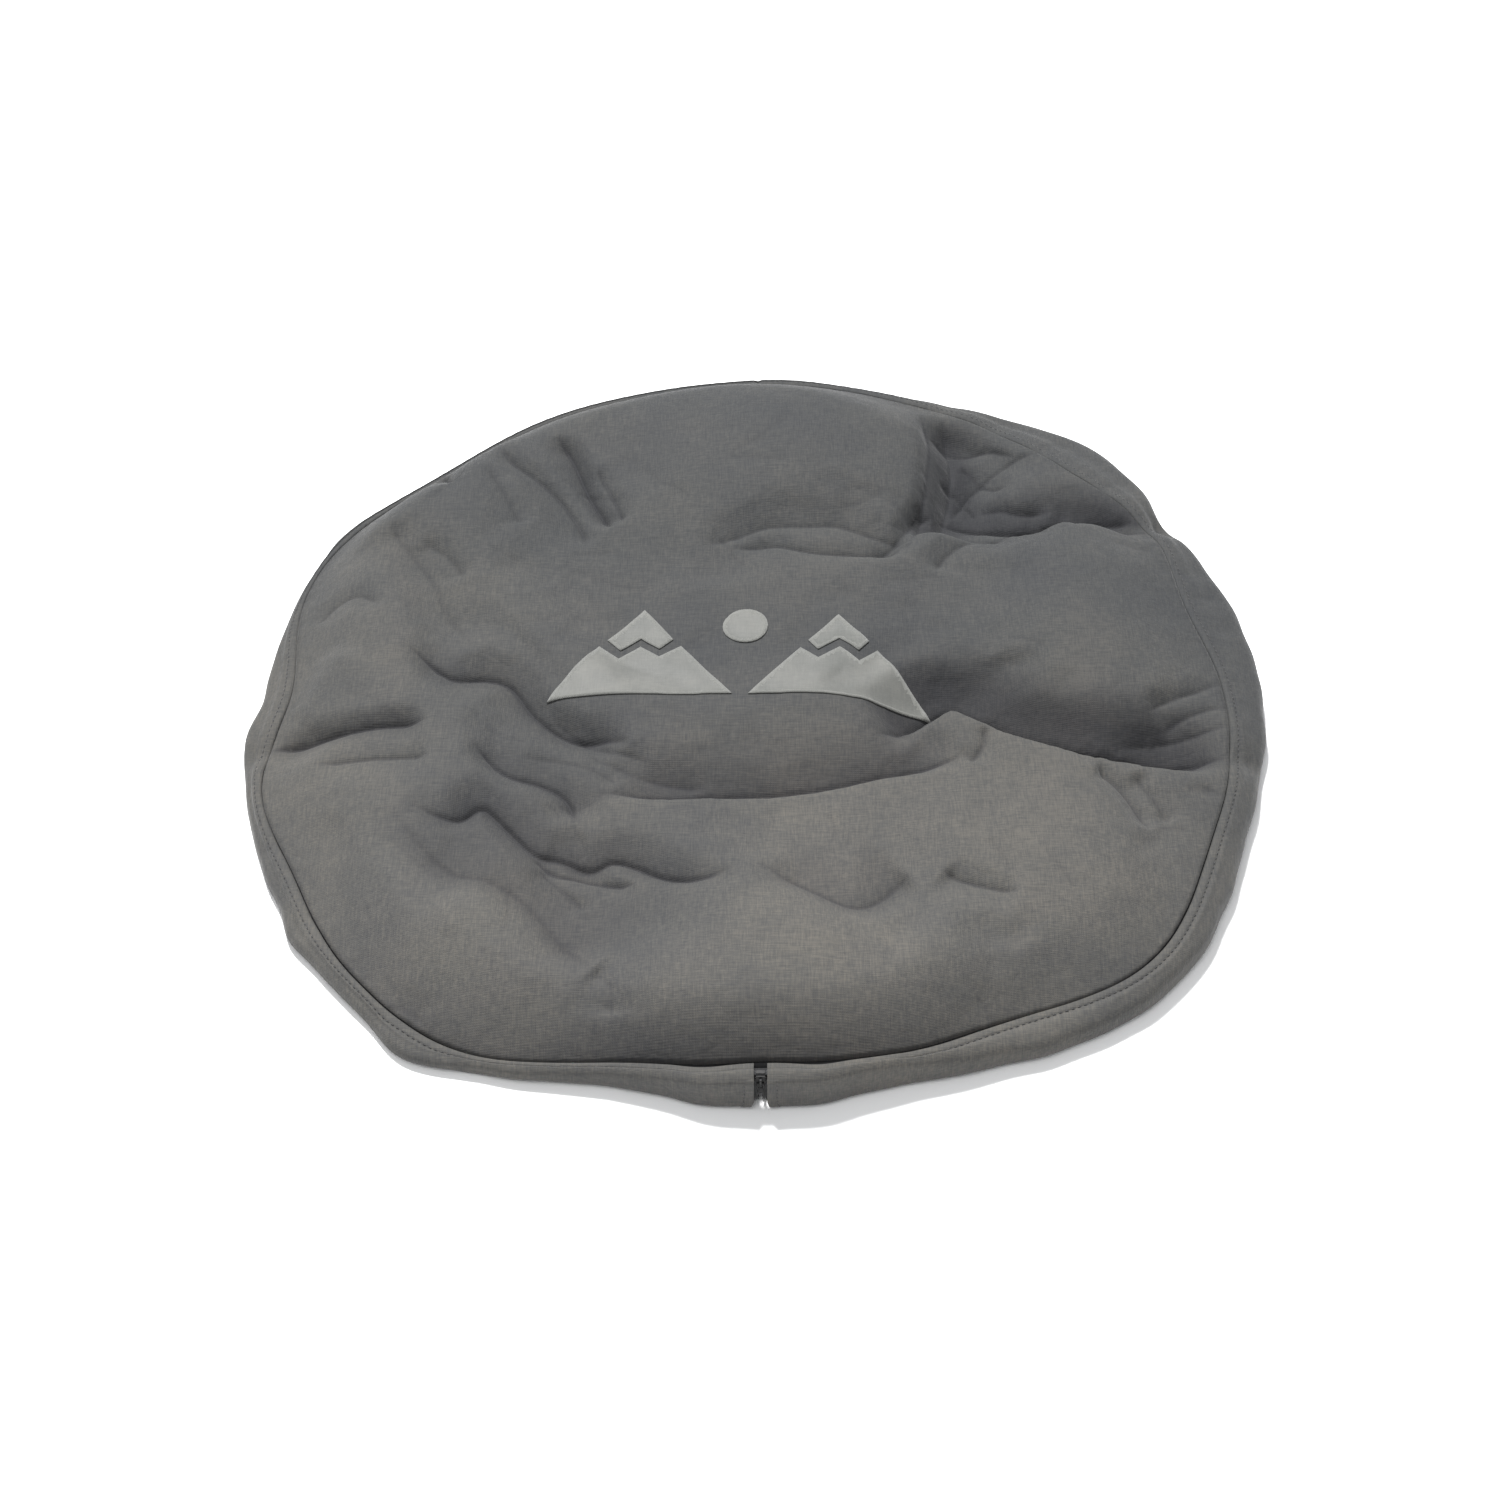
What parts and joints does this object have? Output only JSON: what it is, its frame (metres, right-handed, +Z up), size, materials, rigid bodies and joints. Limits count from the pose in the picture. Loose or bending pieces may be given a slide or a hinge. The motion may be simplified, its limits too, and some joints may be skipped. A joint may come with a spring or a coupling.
{
  "type": "spare wheel cover",
  "caption": "Soft cloth cover for a spare wheel, lying empty: round face panel, side band turned under to an elastic hem, and a zipped slit.",
  "frame": {"origin": "middle of the footprint, on the surface that the cover lies on", "axes": "+Z up out of the face panel, -Y towards the zipped slit, +X to the right when looking from the slit"},
  "size_m": [0.752, 0.7151, 0.0519],
  "materials": {
    "canvas": "charcoal coated canvas, faint sheen",
    "lining": "matte binding tape",
    "thread": "bonded polyester thread",
    "elastic": "braided round elastic",
    "zip_tape": "black woven tape",
    "zip_resin": "moulded resin",
    "nickel": "nickel plated zinc",
    "silver_print": "silver-grey satin patch"
  },
  "bodies": {
    "cover": {"face_panel": "canvas", "side_band_left": "canvas", "side_band_right": "canvas", "turned_under_left": "canvas", "turned_under_right": "canvas", "hem_casing_left": "canvas", "hem_casing_right": "canvas", "elastic_cord": "elastic", "seam_binding": "lining", "band_join_tape": "lining", "slit_end_patch": "lining", "face_topstitch_left": "thread", "face_topstitch_right": "thread", "slit_facing_left": "canvas", "slit_facing_right": "canvas", "zip_tape_left": "zip_tape", "zip_tape_right": "zip_tape", "zip_teeth_left": "zip_resin", "zip_teeth_right": "zip_resin", "zip_closed_end_stop": "nickel", "zip_open_end_stop_left": "nickel", "zip_open_end_stop_right": "nickel", "emblem_left_base": "silver_print", "emblem_left_cap": "silver_print", "emblem_right_base": "silver_print", "emblem_right_cap": "silver_print", "emblem_sun": "silver_print"},
    "zip_slider": {"zip_slider": "nickel"},
    "zip_pull": {"zip_pull": "nickel"}
  },
  "joints": [
    {"name": "zip_travel", "type": "slide", "parent": "cover", "child": "zip_slider", "axis": [0, 0, -1], "range_m": [0, 0.014]},
    {"name": "pull_swing", "type": "hinge", "parent": "zip_slider", "child": "zip_pull", "pos_m": [0.00214, -0.35638, 0.025], "axis": [-1, 0, 0], "range_deg": [0, 145]}
  ]
}
